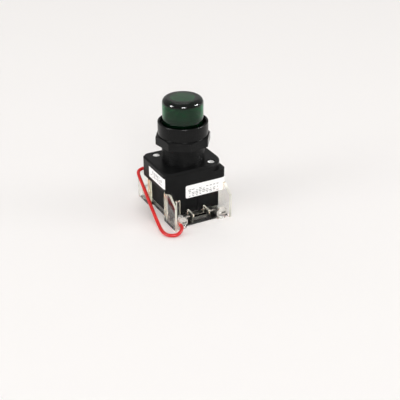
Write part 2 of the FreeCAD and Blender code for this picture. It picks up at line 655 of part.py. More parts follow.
def light_unit_housing():
    """Black moulded shell with a lamp tower, screw bosses, a stepped corner and a front apron."""
    body = plate(LIGHT_W, LIGHT_D, LIGHT_RADII, BLOCK_TOP, LIGHT_TOP - CORNER_STEP)
    body = body.fuse(plate(LIGHT_W, LIGHT_D, FLANGE_RADII, BLOCK_TOP, LIGHT_TOP))
    room = light_unit_plan(LIGHT_WALL, BLOCK_TOP - CUT, LIGHT_TOP - LIGHT_ROOF)
    z0, z1 = BLOCK_TOP - APRON_DROP, BLOCK_TOP + CUT
    front = box(APRON_LEFT_X, LIGHT_W / 2, -PILLAR_Y, APRON_END_Y, z0, z1)
    apron = skirt(0, -LIGHT_WALL, z0, z1).common(front)
    extra = [apron,rod(TOWER_R, LIGHT_TOP - LIGHT_ROOF, TOWER_TOP)]
    extra += [screw_boss(x, y) for x, y in FLANGE_SCREWS]
    body = body.cut(room).multiFuse(extra)
    cuts = [rod(TOWER_BORE, LIGHT_TOP, TOWER_TOP + CUT), rod(LEAD_HOLE_R, BLOCK_TOP, LIGHT_TOP + CUT)]
    cuts += leg_slots(LIGHT_TOP - LIGHT_ROOF - CUT, LIGHT_TOP + CUT)
    cuts += screw_holes(BLOCK_TOP - CUT, LIGHT_TOP + CUT) + wire_notch()
    for cut in cuts:
        body = body.cut(cut)
    return body.removeSplitter()


def wire_notch():
    """Notch with a round end in the back wall of the light unit, open to its lower rim."""
    x, y, z = WIRE_ROUTE[0]
    radius = WIRE_D / 2 + SEAT_GAP
    inner_y = LIGHT_D / 2 - LIGHT_WALL - SEAT_GAP
    slot = box(x - radius, x + radius, inner_y, LIGHT_D / 2 + CUT, BLOCK_TOP - CUT, z)
    length = LIGHT_D / 2 + CUT - inner_y
    return [slot, Part.makeCylinder(radius, length, Vector(x, inner_y, z), Vector(0, 1, 0))]


def screw_holes(z0, z1):
    """Free holes for the two long screws."""
    return [rod(FLANGE_SCREW_R + FREE_GAP / 2, z0, z1, x, y) for x, y in FLANGE_SCREWS]


def light_unit_cover():
    """Insulating plate that closes the light unit from below and rests on the contact block."""
    cover = light_unit_plan(LIGHT_WALL + SEAT_GAP, BLOCK_TOP, BLOCK_TOP + COVER_T)
    ends = BLOCK_TOP - CUT, BLOCK_TOP + COVER_T + CUT
    return cover.cut(Part.makeCompound(leg_slots(*ends) + screw_holes(*ends)))


def lamp_resistor():
    """Wire-wound dropping resistor that lies on the cover inside the light unit."""
    along = Vector(0, 1, 0)
    length = RESISTOR_BACK_Y - RESISTOR_FRONT_Y
    start = Vector(RESISTOR_X, RESISTOR_FRONT_Y, BLOCK_TOP + COVER_T + RESISTOR_R)
    body = Part.makeCylinder(RESISTOR_R, length, start, along)
    return body.fuse(Part.makeCylinder(LEAD_R, length + 2 * LEAD_END, start - along * LEAD_END, along))


def socket_insulator():
    """Fibre disc at the bottom of the lamp tower."""
    return tube(SOCKET_R, LEAD_HOLE_R, LIGHT_TOP, CENTRE_SPRING_Z)


def lamp_socket():
    """Brass bayonet socket: a tube with two entry slots that end in a hook."""
    top = TOWER_TOP + SOCKET_PROUD
    shell = tube(SOCKET_R, SOCKET_R - SOCKET_WALL, CENTRE_SPRING_Z, top)
    half = BAYONET_PIN_R + PIN_SLOT_GAP
    z0, z1 = BAYONET_Z - half, BAYONET_Z + half
    hook = box(-half, PIN_ENTRY_X, 0, SOCKET_R + CUT, z0, z1)
    entry = box(PIN_ENTRY_X - 2 * half, PIN_ENTRY_X, 0, SOCKET_R + CUT, z0, top + CUT)
    slot = hook.fuse(entry)
    return shell.cut(slot).cut(turned_half(slot))


def centre_contact():
    """Brass button pressed against the foot of the lamp."""
    r = CENTRE_CONTACT_R
    return turned([(0, CENTRE_CONTACT_Z), (r, CENTRE_CONTACT_Z), (r, LAMP_Z - CENTRE_CONTACT_BEVEL),
                   (r - CENTRE_CONTACT_BEVEL, LAMP_Z), (0, LAMP_Z)])


def centre_spring():
    """Spring under the centre contact."""
    return coil(CENTRE_CONTACT_R - CENTRE_WIRE, CENTRE_WIRE, CENTRE_SPRING_Z, CENTRE_CONTACT_Z, CENTRE_TURNS)


def lamp_base():
    """Brass bayonet base of the lamp, with its two pins and solder foot."""
    shoulder = LAMP_Z + LAMP_FOOT_H
    shell = turned([(0, LAMP_Z), (LAMP_FOOT_R, LAMP_Z), (LAMP_FOOT_R, shoulder),
                    (LAMP_BASE_R - LAMP_BASE_BEVEL, shoulder), (LAMP_BASE_R, shoulder + LAMP_BASE_BEVEL),
                    (LAMP_BASE_R, BULB_Z), (0, BULB_Z)])
    reach = TOWER_BORE - 2 * SEAT_GAP
    pins = Part.makeCylinder(BAYONET_PIN_R, 2 * reach, Vector(0, -reach, BAYONET_Z), Vector(0, 1, 0))
    return shell.fuse(pins)


def lamp_bulb():
    """Sealed glass bulb with a domed end."""
    dome = BULB_Z + BULB_H - BULB_R
    body = turned([(0, BULB_Z), (BULB_R - BULB_NECK, BULB_Z), (BULB_R, BULB_Z + 2 * BULB_NECK),
                   (BULB_R, dome), (0, dome)])
    end = Part.makeSphere(BULB_R, Vector(0, 0, dome)).common(rod(BULB_R + CUT, dome, dome + BULB_R + CUT))
    return body.fuse(end)


def operator_body():
    """Flange with one cut-back corner, and the threaded barrel that passes through the panel."""
    flange = bevelled(plate(LIGHT_W, LIGHT_D, FLANGE_RADII, LIGHT_TOP, FLANGE_TOP), FLANGE_TOP, FLANGE_BEVEL)
    barrel = rod(BARREL_R, LIGHT_TOP, BARREL_TOP)
    collar = rod(BARREL_R + COLLAR_PROUD, FLANGE_TOP, FLANGE_TOP + COLLAR_H)
    cuts = [rod(BARREL_BORE, SPRING_SEAT_Z, BARREL_TOP + CUT)]
    cuts.append(rod(SEAT_BORE, LIGHT_TOP - CUT, SPRING_SEAT_Z + CUT))
    cuts += leg_slots(LIGHT_TOP - CUT, SPRING_SEAT_Z + CUT) + screw_holes(LIGHT_TOP - CUT, FLANGE_TOP + CUT)
    cuts.append(box(-KEYWAY_W / 2, KEYWAY_W / 2, BARREL_R - KEYWAY_DEPTH, BARREL_R + CUT,
                    FLANGE_TOP + COLLAR_H, BARREL_TOP + CUT))
    for x, y in FLANGE_SCREWS:
        cuts.append(rod(FLANGE_HEAD_R + FREE_GAP / 2, SCREW_HEAD_Z, FLANGE_TOP + CUT, x, y))
    body = flange.multiFuse([barrel, collar])
    for cut in cuts:
        body = body.cut(cut)
    return body.removeSplitter()


def long_screws():
    """Two long screws that hold the operator and light unit to the contact block."""
    screws = []
    for x, y in FLANGE_SCREWS:
        top = SCREW_HEAD_Z + FLANGE_HEAD_H
        head = rod(FLANGE_HEAD_R, SCREW_HEAD_Z, top, x, y)
        head = head.makeFillet(FLANGE_HEAD_ROUND, edges_at(head, top))
        slot = box(x - FLANGE_HEAD_R, x + FLANGE_HEAD_R, y - SLOT_W / 2, y + SLOT_W / 2,
                   top - SLOT_DEPTH, top + CUT)
        shank = rod(FLANGE_SCREW_R, SCREW_END_Z, SCREW_HEAD_Z, x, y)
        screws.append(head.cut(slot).fuse(shank))
    return Part.makeCompound(screws)


def wiper_seal():
    """Rubber ring between barrel and bezel ring that wipes the lens carrier."""
    return tube(BARREL_R - SEAL_INSET, CARRIER_R + SLIDE_GAP, BARREL_TOP, LIP_Z)


def bezel_ring():
    """Octagonal nut and guard ring in one piece, with a lip over the seal."""
    half_side = math.pi / NUT_SIDES
    corner_r = NUT_R / math.cos(half_side)
    angles = [math.radians(NUT_TURN) + (2 * k + 1) * half_side for k in range(NUT_SIDES)]
    nut = face_from([(corner_r * math.cos(a), corner_r * math.sin(a), NUT_Z) for a in angles])
    nut = nut.extrude(Vector(0, 0, NUT_HEIGHT))
    wide, narrow = corner_r + NUT_CHAMFER_RUN, corner_r - NUT_CHAMFER_RUN
    nut = nut.common(turned([(0, NUT_Z), (wide, NUT_Z), (wide, NUT_TOP - 2 * NUT_CHAMFER), (narrow, NUT_TOP),
                             (0, NUT_TOP)]))
    guard = rod(RING_R, NUT_Z, RIM_Z)
    guard = guard.makeFillet(RIM_ROUND, edges_at(guard, RIM_Z))
    ring = nut.fuse(guard)
    bore = RING_R - RING_WALL
    hollow = turned([(0, NUT_Z - CUT), (BARREL_R + SEAT_GAP, NUT_Z - CUT), (BARREL_R + SEAT_GAP, LIP_Z),
                     (LIP_BORE, LIP_Z), (LIP_BORE, LIP_TOP), (bore, LIP_TOP), (bore, RIM_Z - RIM_ROUND),
                     (bore + RIM_ROUND, RIM_Z), (bore + RIM_ROUND, RIM_Z + CUT), (0, RIM_Z + CUT)])
    return ring.cut(hollow).removeSplitter()


def cap_shape(radius, round_r, z0, z1):
    """Cylinder whose upper edge is round."""
    cap = rod(radius, z0, z1)
    return cap.makeFillet(round_r, edges_at(cap, z1))


def lens():
    """Green translucent cap with a flat top and a rounded shoulder."""
    room = cap_shape(LENS_R - LENS_WALL, LENS_ROUND - LENS_WALL, LENS_Z - CUT, LENS_TOP - LENS_ROOF)
    return cap_shape(LENS_R, LENS_ROUND, LENS_Z, LENS_TOP).cut(room)


def lens_carrier():
    """Plunger tube that holds the lens, slides in the barrel and pushes the carriage with two legs."""
    neck_r = LENS_R - LENS_WALL - SEAT_GAP
    top = LENS_Z + NECK_IN_LENS
    body = turned([(CARRIER_BORE, CARRIER_Z), (CARRIER_R, CARRIER_Z), (CARRIER_R, COLLAR_Z),
                   (COLLAR_R, COLLAR_Z), (COLLAR_R, LENS_Z), (neck_r, LENS_Z), (neck_r, top),
                   (CARRIER_BORE, top)])
    leg_top = CARRIER_Z + LEG_PAD_H
    leg = box(-LEG_HALF_X, LEG_HALF_X, LEG_INNER_Y, LEG_OUTER_Y, CARRIAGE_TOP, leg_top)
    leg = leg.fuse(box(-LEG_HALF_X, LEG_HALF_X, LEG_INNER_Y, LEG_PAD_Y, CARRIER_Z, leg_top))
    return body.multiFuse([leg, turned_half(leg)]).removeSplitter()


def return_spring():
    """Spring that lifts the lens carrier, on the seat inside the barrel."""
    return coil(RETURN_SPRING_R, RETURN_WIRE, SPRING_SEAT_Z, CARRIER_Z, RETURN_TURNS)


def left_label():
    """Paper label on the left face of the light unit, just round its front corner."""
    z0, z1 = [BLOCK_TOP + rise for rise in LEFT_LABEL_RISE]
    y0 = LEFT_LABEL_INSET - PILLAR_Y
    area = box(-LIGHT_W / 2 - CUT, -PILLAR_INNER_X, y0, y0 + LEFT_LABEL_LENGTH, z0, z1)
    return skirt(LABEL_T, 0, z0, z1).common(area)


def front_label():
    """Paper label on the front face and apron of the light unit, round its right corner."""
    z0, z1 = [BLOCK_TOP + rise for rise in FRONT_LABEL_RISE]
    area = box(APRON_LEFT_X + FRONT_LABEL_INSET, LIGHT_W / 2 + CUT,
               -PILLAR_Y - CUT, APRON_END_Y - FRONT_LABEL_INSET, z0, z1)
    paper = skirt(LABEL_T, 0, z0, z1).common(area)
    corners = [e for e in paper.Edges if abs(e.Length - LABEL_T) < LABEL_T / 100]
    return paper.makeFillet(LABEL_R, corners)


def wire_path(points):
    """Straight runs joined by tangent arcs; returns the path's wire and the arc radii."""
    points = [Vector(*p) for p in points]
    edges, radii = [], []
    at = points[0]
    for before, here, after in zip(points, points[1:], points[2:]):
        back, ahead = before - here, after - here
        shorter = min(back.Length, ahead.Length)
        turn = math.pi - back.getAngle(ahead)
        reach = ARC_SHARE * shorter
        radius = reach / math.tan(turn / 2)
        radii.append(radius)
        back.normalize()
        ahead.normalize()
        inward = back + ahead
        inward.normalize()
        middle = here + inward * (math.hypot(reach, radius) - radius)
        start, end = here + back * reach, here + ahead * reach
        edges.append(Part.LineSegment(at, start).toShape())
        edges.append(Part.Arc(start, middle, end).toShape())
        at = end
    edges.append(Part.LineSegment(at, points[-1]).toShape())
    return Part.Wire(edges), radii


def jumper_wire():
    """Insulated wire from the back of the light unit round the left side to the front-left terminal."""
    path, radii = wire_path(WIRE_ROUTE)
    along = Vector(*WIRE_ROUTE[1]) - Vector(*WIRE_ROUTE[0])
    section = Part.Wire(Part.makeCircle(WIRE_D / 2, Vector(*WIRE_ROUTE[0]), along))
    wire = path.makePipeShell([section], True, False)
    expected = math.pi * (WIRE_D / 2) ** 2 * path.Length
    print("jumper wire length %.2f mm, radii %s" % (path.Length, [round(r, 1) for r in radii]))
    print("jumper wire volume %.2f, section times length %.2f" % (wire.Volume, expected))
    return wire


def jumper_end():
    """Bare twisted conductor of the wire, gripped under the front-left terminal tab."""
    x, y, z = WIRE_ROUTE[-1]
    length = -SCREW_Y + CONDUCTOR_PAST - y
    return Part.makeCylinder(CONDUCTOR_D / 2 - CONDUCTOR_GAP, length, Vector(x, y, z), Vector(0, 1, 0))


def model():
    """Every piece of the pilot light by name."""
    parts = {
        "clear_base": clear_base(),
        "contact_block_body": contact_block_body(),
        "contact_carriage": contact_carriage(),
        "closed_bridge": bridge(-1),
        "open_bridge": bridge(1),
        "closed_bridge_spring": bridge_spring(-1),
        "open_bridge_spring": bridge_spring(1),
        "carriage_spring": carriage_spring(),
        "terminal_screws": terminal_screws(),
        "light_unit_housing": light_unit_housing(),
        "light_unit_cover": light_unit_cover(),
        "lamp_resistor": lamp_resistor(),
        "socket_insulator": socket_insulator(),
        "lamp_socket": lamp_socket(),
        "centre_contact": centre_contact(),
        "centre_spring": centre_spring(),
        "lamp_base": lamp_base(),
        "lamp_bulb": lamp_bulb(),
        "operator_body": operator_body(),
        "long_screws": long_screws(),
        "wiper_seal": wiper_seal(),
        "bezel_ring": bezel_ring(),
        "lens": lens(),
        "lens_carrier": lens_carrier(),
        "return_spring": return_spring(),
        "left_label": left_label(),
        "front_label": front_label(),
        "jumper_wire": jumper_wire(),
        "jumper_end": jumper_end(),
    }
    for corner in CORNERS:
        parts["terminal_strip_" + corner] = terminal_strip(corner)
        parts["clamp_plate_" + corner] = clamp_plate(corner)
    return parts


def main():
    os.makedirs("parts", exist_ok=True)
    for name, shape in model().items():
        shape.exportStep("parts/" + name + ".step")
        print(name, "solids", len(shape.Solids), "valid", shape.isValid(), "volume %.1f" % shape.Volume)


main()
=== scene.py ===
import json
import math

import bmesh
import bpy
from bpy.props import FloatProperty, FloatVectorProperty, IntProperty, PointerProperty
from mathutils import Euler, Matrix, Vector

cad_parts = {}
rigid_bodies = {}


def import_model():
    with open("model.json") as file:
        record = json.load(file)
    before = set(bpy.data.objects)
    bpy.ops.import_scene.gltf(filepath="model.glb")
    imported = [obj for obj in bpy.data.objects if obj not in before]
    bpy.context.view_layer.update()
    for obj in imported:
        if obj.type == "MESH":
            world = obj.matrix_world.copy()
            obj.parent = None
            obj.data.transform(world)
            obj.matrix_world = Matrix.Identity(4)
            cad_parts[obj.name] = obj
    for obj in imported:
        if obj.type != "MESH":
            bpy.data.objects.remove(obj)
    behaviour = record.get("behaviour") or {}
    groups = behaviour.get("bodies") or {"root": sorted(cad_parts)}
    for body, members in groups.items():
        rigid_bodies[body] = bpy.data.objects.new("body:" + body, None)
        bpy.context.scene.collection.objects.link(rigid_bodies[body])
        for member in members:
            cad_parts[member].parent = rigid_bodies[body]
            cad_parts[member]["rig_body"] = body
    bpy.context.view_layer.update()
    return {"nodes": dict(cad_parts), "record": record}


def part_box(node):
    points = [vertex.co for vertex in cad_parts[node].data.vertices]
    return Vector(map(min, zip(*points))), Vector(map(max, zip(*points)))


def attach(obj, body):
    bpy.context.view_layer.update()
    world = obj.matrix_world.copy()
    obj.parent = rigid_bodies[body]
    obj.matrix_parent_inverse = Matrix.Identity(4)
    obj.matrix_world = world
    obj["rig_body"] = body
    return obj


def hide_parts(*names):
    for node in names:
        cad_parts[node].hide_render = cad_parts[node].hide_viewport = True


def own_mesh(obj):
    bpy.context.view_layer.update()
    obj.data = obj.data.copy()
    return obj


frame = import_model()

bl_info = {
    "name": "Panel pilot light finish",
    "version": (1, 0, 0),
    "blender": (4, 5, 0),
    "location": "View3D > Sidebar > Pilot light",
    "description": "Gives the packed panel pilot light its finishes, and sets up the studio that shows it",
    "category": "Object",
}

MM = 0.001

# The jumper wire's route from the back of the light unit to the front left terminal, in millimetres
WIRE_ROUTE = [
    (-17.4, 18.4, 24.9),
    (-17.4, 21.6, 24.9),
    (-19.8, 24.0, 24.8),
    (-23.2, 24.0, 24.2),
    (-25.7, 21.5, 23.4),
    (-26.4, 15.5, 20.6),
    (-27.6, 4.4, 15.4),
    (-29.2, -9.3, 9.0),
    (-30.4, -20.5, 3.9),
    (-31.0, -28.0, 1.5),
    (-29.4, -34.4, 1.3),
    (-23.2, -37.2, 1.6),
    (-17.8, -33.3, 4.0),
    (-17.8, -29.4, 4.0),
]

# Mouldings whose edges are rounded: node, piece, finish, slot, edge radius in millimetres
MOULDINGS = [
    ("operator_body", "flange_and_barrel", "satin_black", "black_gloss", 0.3),
    ("bezel_ring", "ring_nut", "gloss_black", "black_gloss", 0.3),
    ("light_unit_housing", "light_unit_shell", "satin_black", "black_gloss", 0.35),
    ("contact_block_body", "contact_block", "matt_black", "black_matt", 0.3),
    ("lens_carrier", "lens_plunger", "matt_black", "black_matt", 0.15),
    ("contact_carriage", "contact_plunger", "fibre_board", "fibre", 0.15),
    ("light_unit_cover", "light_unit_floor", "fibre_board", "fibre", 0.12),
]

# Ends of the names of the strips and clamps: front or back, left or right
CORNERS = ("fl", "fr", "bl", "br")

# Pieces inside whose modelled shape is finished as it is: node and finish
INNER_PARTS = [
    ("wiper_seal", "black_rubber"),
    ("lamp_base", "brass"),
    ("lamp_bulb", "lamp_glass"),
    ("lamp_socket", "brass"),
    ("socket_insulator", "fibre_board"),
    ("centre_contact", "brass"),
    ("lamp_resistor", "glazed_ceramic"),
    ("closed_bridge", "brass"),
    ("open_bridge", "brass"),
    ("centre_spring", "spring_steel"),
    ("closed_bridge_spring", "spring_steel"),
    ("open_bridge_spring", "spring_steel"),
]

# Finishes that no setting changes: name, effect, colour, grain scale, roughness, change of
# roughness, bump strength, and the shader's other inputs
METAL = {"Metallic": 1.0}
PLAIN_FINISHES = [
    ("nickel", "rolled_metal", (0.72, 0.70, 0.66), 2500.0, 0.28, 0.08, 0.15, METAL),
    ("screw_steel", "rolled_metal", (0.92, 0.92, 0.91), 3200.0, 0.42, 0.07, 0.12, METAL),
    ("brass", "rolled_metal", (0.72, 0.50, 0.20), 2500.0, 0.30, 0.08, 0.12, METAL),
    ("spring_steel", "rolled_metal", (0.50, 0.49, 0.47), 3000.0, 0.33, 0.08, 0.1, METAL),
    ("copper", "rolled_metal", (0.78, 0.40, 0.24), 4200.0, 0.32, 0.08, 0.12, METAL),
    ("lamp_glass", "moulded_surface", (0.93, 0.95, 0.95), 500.0, 0.03, 0.02, 0.03,
     {"Transmission_Weight": 1.0, "IOR": 1.47}),
    ("glazed_ceramic", "moulded_surface", (0.32, 0.30, 0.25), 1500.0, 0.38, 0.08, 0.3, {}),
    ("black_rubber", "moulded_surface", (0.014, 0.014, 0.014), 2000.0, 0.72, 0.06, 0.4, {}),
    ("fibre_board", "pressed_fibres", (0.20, 0.085, 0.035), 2200.0, 0.62, 0.08, 0.35, {}),
]

# Where the lens turns from green to its painted shade, a dark tone that stands for the shade of
# its thick wall: outside its disc, in shares of its radius, on its shoulder, in millimetres below its
# top, and at its foot, in millimetres above the ring's rim, with the share of painted shade there
LENS_DISC = (0.57, 0.65)
LENS_SHOULDER = (4.4, 3.4)
LENS_FOOT = (-1, 8)
LENS_FOOT_SHARE = 0.8

# Meshes of the finished pieces: vertices this close are joined, in millimetres, and the angles in
# degrees under which two faces become one, under which they shade as one, and over which their
# edge is rounded
JOIN_DISTANCE = 0.001
FLAT_ANGLE = 0.2
SMOOTH_ANGLE = 32
ROUND_ANGLE = 40

# Faces of the clear base that are longer and narrower than this are its edges, in millimetres;
# these edges get a pale cream finish as painted light
EDGE_LENGTH = 5
EDGE_WIDTH = 1.9

# Where the thread lies, in millimetres: the barrel's surface outside the seal's, the flange's top
# above the long screws, and the height of the barrel's collar
BARREL_PAST_SEAL = 0.25
FLANGE_PAST_SCREWS = 0.3
COLLAR_HEIGHT = 0.8

# Shares of a label's width and height that its bars take up
FRONT_BARS_SHARE = (0.78, 0.5)
LEFT_BARS_SHARE = (0.66, 0.52)
# Height of the front bars' middle, as a share of the label's height
FRONT_BARS_MIDDLE = 0.38
# The front label's bend round its corner, and the left bars' place behind the label's middle, in
# millimetres
FRONT_LABEL_BEND = 4.2
LEFT_BARS_BACK = 0.5

# Soft lamps: name, direction from the device, distance and size in metres, power in watts
LAMPS = [
    ("lamp_above", (0.1, 0.3, 0.95), 2.0, (1.2, 1.2), 6.0),
    ("panel_left", (-0.90, 0.04, 0.34), 2.0, (0.9, 0.7), 8.0),
    ("panel_front", (-0.30, -0.85, 0.34), 2.0, (0.9, 0.7), 10.0),
    ("panel_right", (0.78, -0.50, 0.38), 2.0, (0.9, 0.5), 5.0),
]
# Lamps that only reflections show: name, direction and size, with their distance in metres and
# their power in watts for each square metre
GLINTS = [
    ("glint_left", (-0.90, 0.04, 0.34), (0.30, 0.36)),
    ("glint_front", (-0.34, -0.85, 0.34), (0.36, 0.30)),
    ("glint_right", (0.78, -0.50, 0.38), (0.50, 0.26)),
]
GLINT_DISTANCE = 1.1
GLINT_POWER = 135.0

# Point that the lamps look at, half the floor's width and the camera's place, in metres, and the
# camera's turn in degrees
LAMP_TARGET = (0, 0, 0.05)
FLOOR_HALF = 4.0
CAMERA_PLACE = (-0.2295, -0.4485, 0.27815)
CAMERA_TURN = (61.51, 0, -28.43)


class MouldingSettings(bpy.types.PropertyGroup):
    black: FloatVectorProperty(
        name="Black", description="Colour of the black mouldings", subtype="COLOR",
        default=(0.0050, 0.0052, 0.0053), min=0, max=1)
    gloss: FloatProperty(
        name="Gloss roughness", description="Roughness of the ring nut",
        default=0.22, min=0, max=1, subtype="FACTOR")
    matt: FloatProperty(
        name="Matt roughness",
        description="Roughness of the contact block; the operator and light unit lie halfway",
        default=0.50, min=0, max=1, subtype="FACTOR")
    clear: FloatVectorProperty(
        name="Clear plastic", description="Colour of the clear terminal base", subtype="COLOR",
        default=(0.97, 0.97, 0.93), min=0, max=1)
    # Painted light: the pale cream of the clear base's narrow edges stands for the light they carry
    edge: FloatVectorProperty(
        name="Clear edge light", description="Colour of the clear base's narrow edges", subtype="COLOR",
        default=(0.93, 0.92, 0.78), min=0, max=1)


class LensSettings(bpy.types.PropertyGroup):
    green: FloatVectorProperty(
        name="Lens green", description="Colour of the lens", subtype="COLOR",
        default=(0.010, 0.17, 0.060), min=0, max=1)
    # Painted shade: this darker green stands for the shade in the lens's thick shoulder and foot
    shade_green: FloatVectorProperty(
        name="Painted shade green", description="Colour of the lens where its wall is thick",
        subtype="COLOR", default=(0.003, 0.010, 0.006), min=0, max=1)
    roughness: FloatProperty(
        name="Roughness", description="Roughness of the moulded lens",
        default=0.03, min=0, max=1, subtype="FACTOR")


class ThreadSettings(bpy.types.PropertyGroup):
    pitch: FloatProperty(
        name="Pitch", description="Rise of the barrel's thread in one turn",
        default=1.6 * MM, min=0.5 * MM, max=4 * MM, unit="LENGTH", precision=5)
    ridge: FloatProperty(
        name="Ridge", description="Radius of the thread's round ridge",
        default=0.16 * MM, min=0.05 * MM, max=1 * MM, unit="LENGTH", precision=5)


class LabelSettings(bpy.types.PropertyGroup):
    paper: FloatVectorProperty(
        name="Paper", description="Colour of the paper labels", subtype="COLOR",
        default=(0.97, 0.97, 0.96), min=0, max=1)
    ink: FloatVectorProperty(
        name="Ink", description="Colour of the plain bars on the labels", subtype="COLOR",
        default=(0.13, 0.13, 0.14), min=0, max=1)
    rows: IntProperty(
        name="Rows", description="Rows of plain bars on each label", default=5, min=1, max=12)


class WireSettings(bpy.types.PropertyGroup):
    diameter: FloatProperty(
        name="Diameter", description="Diameter over the insulation",
        default=2.4 * MM, min=0.5 * MM, max=6 * MM, unit="LENGTH", precision=5)
    red: FloatVectorProperty(
        name="Insulation", description="Colour of the jumper wire's insulation", subtype="COLOR",
        default=(0.58, 0.010, 0.009), min=0, max=1)
    strands: IntProperty(
        name="Strands", description="Strands that wind round the middle one",
        default=6, min=3, max=12)


class StudioSettings(bpy.types.PropertyGroup):
    floor: FloatVectorProperty(
        name="Floor", description="Colour of the pale floor and of the surround", subtype="COLOR",
        default=(0.955, 0.938, 0.925), min=0, max=1)
    surround: FloatProperty(
        name="Surround", description="Level of light that comes from all round",
        default=0.7, min=0, max=2)
    mirrored: FloatProperty(
        name="Mirrored surround", description="Level of the surround as glossy surfaces mirror it",
        default=0.65, min=0, max=2)
    lamps: FloatProperty(
        name="Lamps", description="Power of the soft lamps, as a share of the plain level",
        default=1.0, min=0, max=4)
    focal_length: FloatProperty(
        name="Focal length", description="Focal length of the camera in millimetres",
        default=71.55, min=20, max=200)


# Node trees

def node_tree(name, kind, inputs, outputs):
    """New node group with named sockets; returns the tree with its input and output nodes."""
    tree = bpy.data.node_groups.new(name, kind)
    for label, socket_type, value in inputs:
        socket = tree.interface.new_socket(label, in_out="INPUT", socket_type=socket_type)
        if value is not None:
            socket.default_value = value
    for label, socket_type in outputs:
        tree.interface.new_socket(label, in_out="OUTPUT", socket_type=socket_type)
    return tree, tree.nodes.new("NodeGroupInput").outputs, tree.nodes.new("NodeGroupOutput").inputs


def add(tree, kind, inputs=None, **settings):
    """Adds a node, makes its settings, and fills or links its inputs by name or number."""
    node = tree.nodes.new(kind)
    for key, value in settings.items():
        setattr(node, key, value)
    for key, value in (inputs or {}).items():
        if isinstance(value, bpy.types.NodeSocket):
            tree.links.new(value, node.inputs[key])
        else:
            node.inputs[key].default_value = value
    return node


def noise(tree, where, scale, detail=3.0, distortion=0.0):
    """Noise value at a place."""
    made = add(tree, "ShaderNodeTexNoise",
               {"Vector": where, "Scale": scale, "Detail": detail, "Distortion": distortion})
    return made.outputs[0]


def spread(tree, value, low, high):
    """Noise value between 0.3 and 0.7 stretched to lie between two values."""
    made = add(tree, "ShaderNodeMapRange",
               {"Value": value, "From Min": 0.3, "From Max": 0.7, "To Min": low, "To Max": high})
    return made.outputs["Result"]


def maths(tree, operation, first, second):
    """Result of a sum, product or the like of two values."""
    return add(tree, "ShaderNodeMath", {0: first, 1: second}, operation=operation).outputs[0]


def shaded(tree, colour, value):
    """Colour made darker or lighter by a value."""
    return add(tree, "ShaderNodeHueSaturation", {"Color": colour, "Value": value}).outputs["Color"]


EFFECT_OUTPUTS = [
    ("Colour", "NodeSocketColor"), ("Roughness", "NodeSocketFloat"), ("Height", "NodeSocketFloat")]


def effect_inputs(scale, roughness):
    """Sockets that every effect has: colour, grain scale, roughness and how much it changes."""
    return [
        ("Colour", "NodeSocketColor", (0.5, 0.5, 0.5, 1)),
        ("Scale", "NodeSocketFloat", scale),
        ("Roughness", "NodeSocketFloat", roughness),
        ("Change", "NodeSocketFloat", 0.06),
    ]


def effect_ends(tree, start, end, tone, gloss, height):
    """Joins an effect's tone, gloss and height to its outputs."""
    low = maths(tree, "SUBTRACT", start["Roughness"], start["Change"])
    high = maths(tree, "ADD", start["Roughness"], start["Change"])
    tree.links.new(shaded(tree, start["Colour"], tone), end["Colour"])
    tree.links.new(spread(tree, gloss, low, high), end["Roughness"])
    tree.links.new(height, end["Height"])


def moulded_effect():
    """Fine grain, slow changes of gloss and paler edges of a moulded plastic; the paler edges are partly
    wear and partly a painted edge highlight.
    """
    tree, start, end = node_tree(
        "moulded_surface", "ShaderNodeTree", effect_inputs(scale=3500.0, roughness=0.4),
        EFFECT_OUTPUTS)
    where = add(tree, "ShaderNodeTexCoord").outputs["Object"]
    grain = noise(tree, where, start["Scale"])
    flow = noise(tree, where, scale=140.0, detail=4.0, distortion=0.4)
    # Paler edges: partly wear, partly a painted highlight along the edges
    edge = add(tree, "ShaderNodeNewGeometry").outputs["Pointiness"]
    wear_and_edge_sheen = add(tree, "ShaderNodeMapRange",
               {"Value": edge, "From Min": 0.52, "From Max": 0.62, "To Min": 0.0, "To Max": 0.5})
    tone = maths(tree, "ADD", spread(tree, flow, low=0.86, high=1.14), wear_and_edge_sheen.outputs["Result"])
    effect_ends(tree, start, end, tone, gloss=flow, height=grain)


def rolled_effect():
    """Fine rolling lines and faint stains of plated or drawn metal."""
    tree, start, end = node_tree(
        "rolled_metal", "ShaderNodeTree", effect_inputs(scale=2500.0, roughness=0.3),
        EFFECT_OUTPUTS)
    where = add(tree, "ShaderNodeTexCoord").outputs["Object"]
    along = add(tree, "ShaderNodeMapping", {"Vector": where, "Scale": (1.0, 0.08, 1.0)}).outputs[0]
    lines = noise(tree, along, start["Scale"], detail=2.0)
    stains = noise(tree, where, scale=260.0, detail=4.0, distortion=0.6)
    tone = spread(tree, stains, low=0.82, high=1.12)
    effect_ends(tree, start, end, tone, gloss=lines, height=lines)


def fibrous_effect():
    """Cloudy fibres of paper and pressed board."""
    tree, start, end = node_tree(
        "pressed_fibres", "ShaderNodeTree", effect_inputs(scale=1800.0, roughness=0.6),
        EFFECT_OUTPUTS)
    where = add(tree, "ShaderNodeTexCoord").outputs["Object"]
    fibres = noise(tree, where, start["Scale"], detail=6.0, distortion=1.5)
    clouds = noise(tree, where, scale=120.0)
    tone = spread(tree, clouds, low=0.95, high=1.04)
    effect_ends(tree, start, end, tone, gloss=fibres, height=fibres)


def finish_named(name):
    """Material that this script made under a name; the CAD part's own slots keep the bare names."""
    return bpy.data.materials[name + "_finish"]


